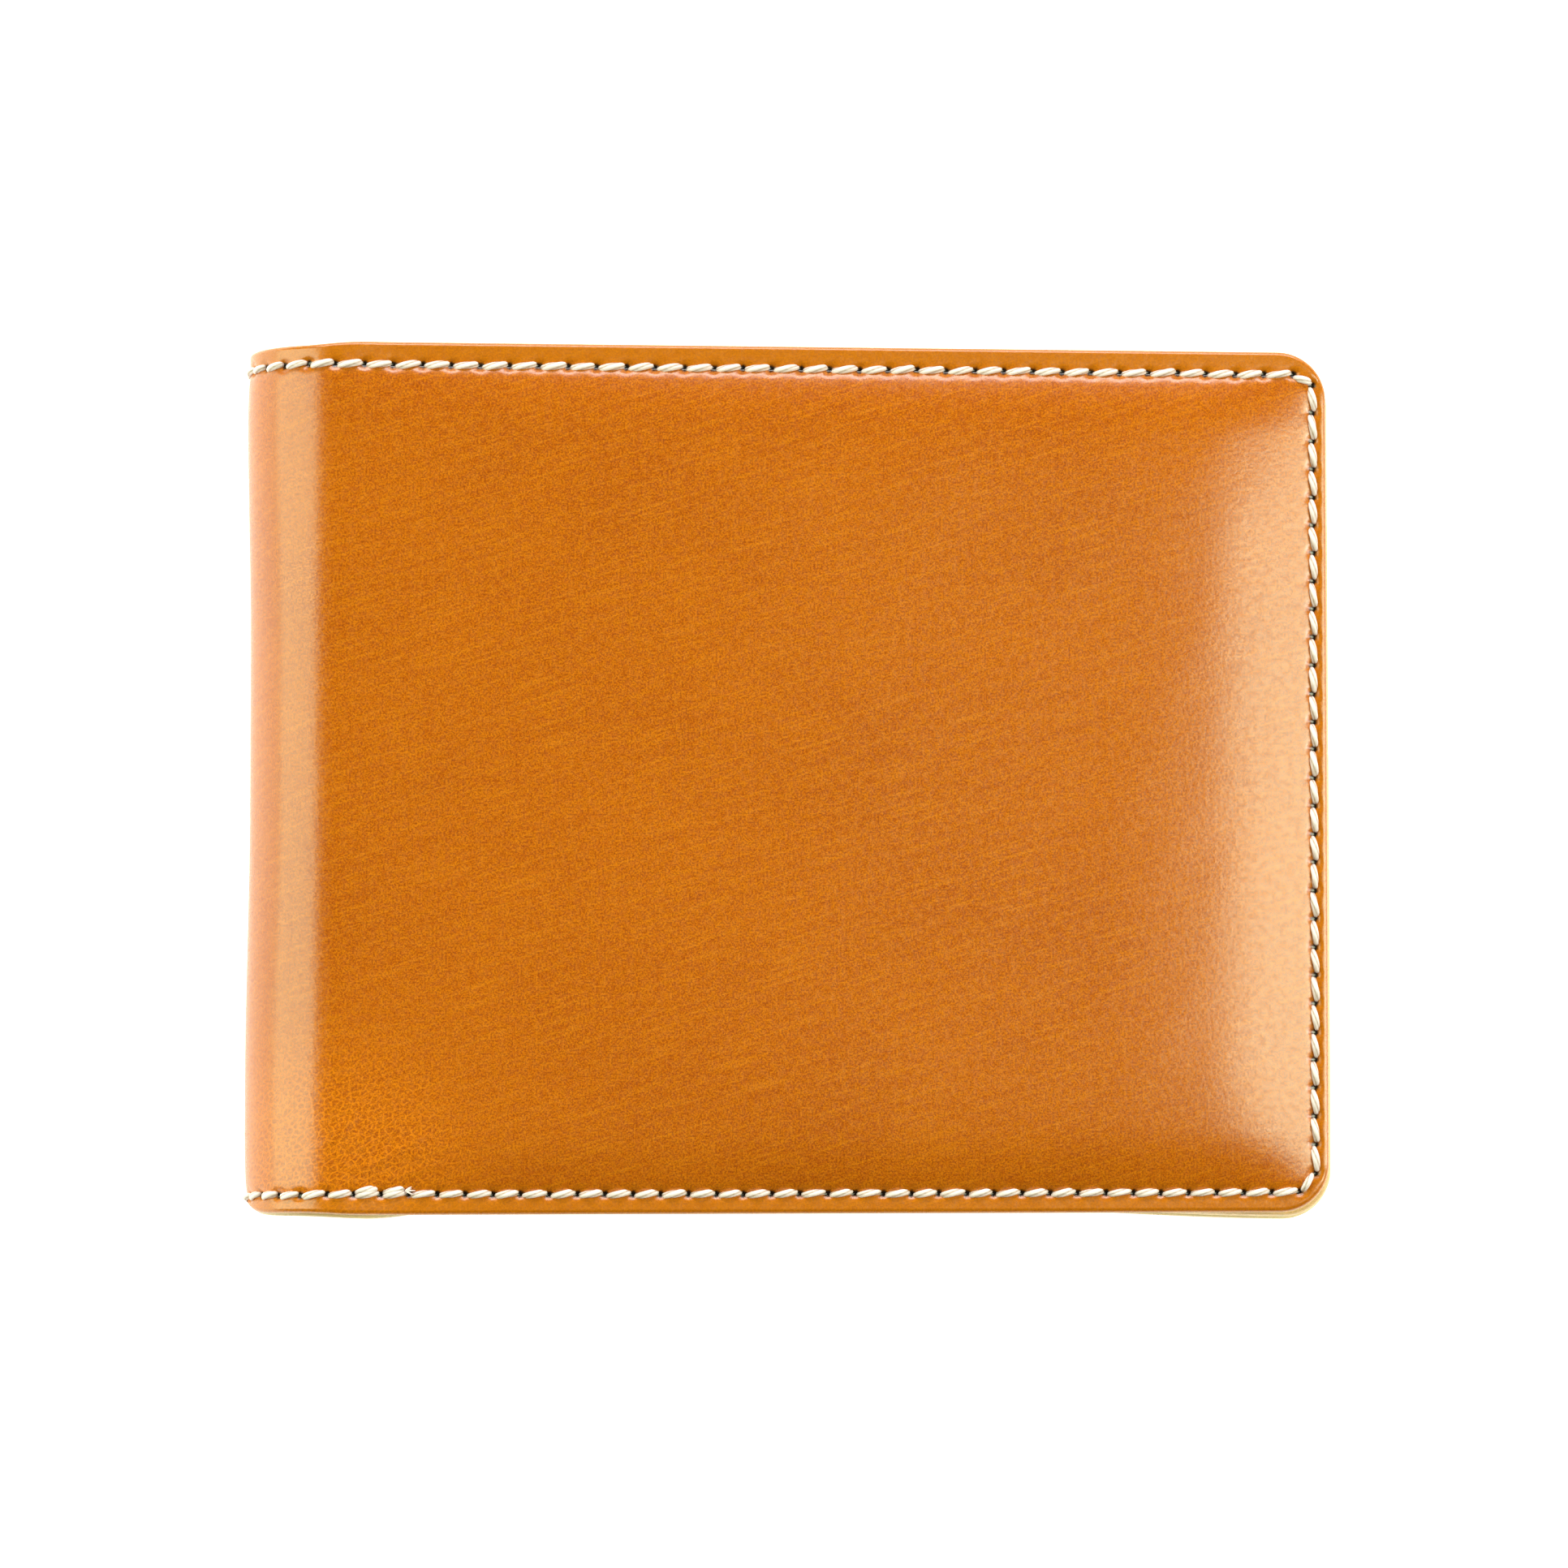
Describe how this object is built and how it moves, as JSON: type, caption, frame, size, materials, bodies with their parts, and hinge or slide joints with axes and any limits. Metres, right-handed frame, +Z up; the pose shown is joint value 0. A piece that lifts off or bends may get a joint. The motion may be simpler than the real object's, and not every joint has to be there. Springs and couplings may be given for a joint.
{
  "type": "bifold wallet",
  "caption": "Closed leather bifold wallet with cushioned covers, sewn edges, a bill compartment and stepped card pockets, folding flat open on its spine.",
  "frame": {"origin": "below the middle of the closed wallet, on the surface that it lies on", "axes": "+X from the fold to the free edges, +Y to the open top of the bill compartment, +Z up from the back half to the front half"},
  "size_m": [0.112, 0.09, 0.02],
  "materials": {
    "cover_leather": "satin",
    "pocket_leather": "satin",
    "lining_leather": "matte",
    "board": "matte",
    "thread": "matte"
  },
  "bodies": {
    "back_half": {"back_cover": "cover_leather", "back_stiffener": "board", "back_lining": "lining_leather", "back_pocket_wall": "pocket_leather", "back_card_pocket_1": "pocket_leather", "back_card_pocket_2": "pocket_leather", "back_card_pocket_3": "pocket_leather", "back_front_pocket": "pocket_leather", "back_edge_stitches": "thread", "back_pocket_stitches": "thread"},
    "spine_1": {"spine_cover_1": "cover_leather", "spine_lining_1": "lining_leather", "spine_stitches_1": "thread"},
    "spine_2": {"spine_cover_2": "cover_leather", "spine_lining_2": "lining_leather", "spine_stitches_2": "thread"},
    "spine_3": {"spine_cover_3": "cover_leather", "spine_lining_3": "lining_leather", "spine_stitches_3": "thread"},
    "front_half": {"front_cover": "cover_leather", "front_stiffener": "board", "front_lining": "lining_leather", "front_pocket_wall": "pocket_leather", "front_card_pocket_1": "pocket_leather", "front_card_pocket_2": "pocket_leather", "front_card_pocket_3": "pocket_leather", "front_front_pocket": "pocket_leather", "front_edge_stitches": "thread", "front_pocket_stitches": "thread"}
  },
  "joints": [
    {"name": "fold_1", "type": "hinge", "parent": "back_half", "child": "spine_1", "pos_m": [-0.04972, 0, 0.0012], "axis": [0, -1, 0], "range_deg": [0, 45.85]},
    {"name": "fold_2", "type": "hinge", "parent": "spine_1", "child": "spine_2", "pos_m": [-0.0549, 0, 0.00654], "axis": [0, -1, 0], "range_deg": [0, 45.85]},
    {"name": "fold_3", "type": "hinge", "parent": "spine_2", "child": "spine_3", "pos_m": [-0.05468, 0, 0.01398], "axis": [0, -1, 0], "range_deg": [0, 45.85]},
    {"name": "fold_4", "type": "hinge", "parent": "spine_3", "child": "front_half", "pos_m": [-0.04919, 0, 0.019], "axis": [0, -1, 0], "range_deg": [0, 45.85]}
  ],
  "couplings": [
    {"joint": "fold_2", "follows": "fold_1", "ratio": 1},
    {"joint": "fold_3", "follows": "fold_1", "ratio": 1},
    {"joint": "fold_4", "follows": "fold_1", "ratio": 1}
  ]
}
